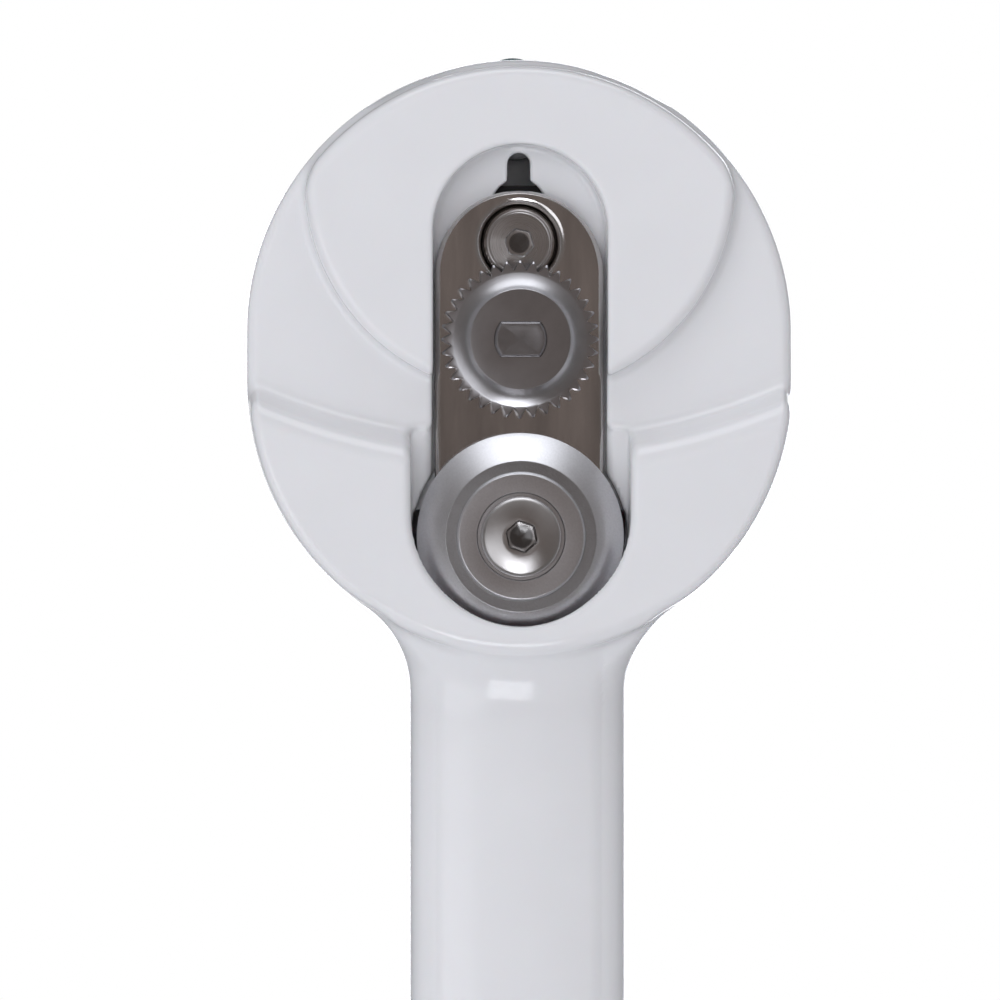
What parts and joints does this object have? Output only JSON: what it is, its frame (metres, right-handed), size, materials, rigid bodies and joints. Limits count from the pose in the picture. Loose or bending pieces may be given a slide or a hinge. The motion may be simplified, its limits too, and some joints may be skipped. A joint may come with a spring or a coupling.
{
  "type": "manual can opener",
  "caption": "One-handed rotary can opener with a plastic handle and head, a toothed drive wheel, a sliding cutter wheel and a wing knob.",
  "frame": {"origin": "middle of the handle's flat end face", "axes": "+Z along the handle towards the head, -Y out of the wheel side, +Y out of the knob side, +X to the right seen from the wheel side"},
  "size_m": [0.0686, 0.0467, 0.2013],
  "materials": {
    "white_plastic": "glossy moulded ABS",
    "soft_grip": "soft-touch grip",
    "black_plastic": "matt moulded",
    "acetal": "satin natural acetal",
    "polished_steel": "polished stainless sheet",
    "turned_steel": "fine turned stainless",
    "cutter_steel": "ground bevel with a grainy ring",
    "matte_steel": "matt hardened steel",
    "zinc_steel": "zinc plated",
    "spring_steel": "drawn spring wire and strip"
  },
  "bodies": {
    "housing": {"wheel_side_housing": "white_plastic", "knob_side_housing": "white_plastic", "housing_screw_top": "zinc_steel", "housing_screw_left": "zinc_steel", "housing_screw_right": "zinc_steel", "housing_screw_handle_upper": "zinc_steel", "housing_screw_handle_lower": "zinc_steel", "wheel_side_bush": "acetal", "knob_side_bush": "acetal"},
    "drive": {"drive_shaft": "matte_steel", "drive_wheel": "matte_steel", "shaft_clip": "spring_steel", "friction_hub": "zinc_steel", "wave_washer": "spring_steel", "thrust_washer": "acetal", "knob_body": "white_plastic", "knob_grip": "soft_grip", "knob_screw": "zinc_steel", "knob_cap": "white_plastic"},
    "cam": {"clamp_cam": "black_plastic"},
    "slide": {"slide_plate": "polished_steel", "slide_screw": "turned_steel", "slide_block": "black_plastic", "follower_pin": "turned_steel", "cutter_screw": "turned_steel", "cutter_sleeve": "turned_steel", "cutter_washer": "turned_steel", "cutter_nut": "zinc_steel", "return_spring_left": "spring_steel", "return_spring_right": "spring_steel"},
    "cutter": {"cutter_wheel": "cutter_steel"}
  },
  "joints": [
    {"name": "knob_turn", "type": "hinge", "parent": "housing", "child": "drive", "pos_m": [0, 0, 0.165], "axis": [0, 1, 0], "continuous": true},
    {"name": "plate_slide", "type": "slide", "parent": "housing", "child": "slide", "axis": [0, 0, 1], "range_m": [0, 0.0026], "stiffness_N_per_m": 1000, "springref_m": -0.004, "deforming": ["return_spring_left", "return_spring_right"]},
    {"name": "cam_turn", "type": "hinge", "parent": "housing", "child": "cam", "pos_m": [0, 0, 0.165], "axis": [0, 1, 0], "range_deg": [0, 120]},
    {"name": "cutter_spin", "type": "hinge", "parent": "slide", "child": "cutter", "pos_m": [0, 0, 0.1402], "axis": [0, 1, 0], "continuous": true}
  ],
  "couplings": [
    {"joint": "cam_turn", "follows": "plate_slide", "rad_per_m": 805.54}
  ]
}
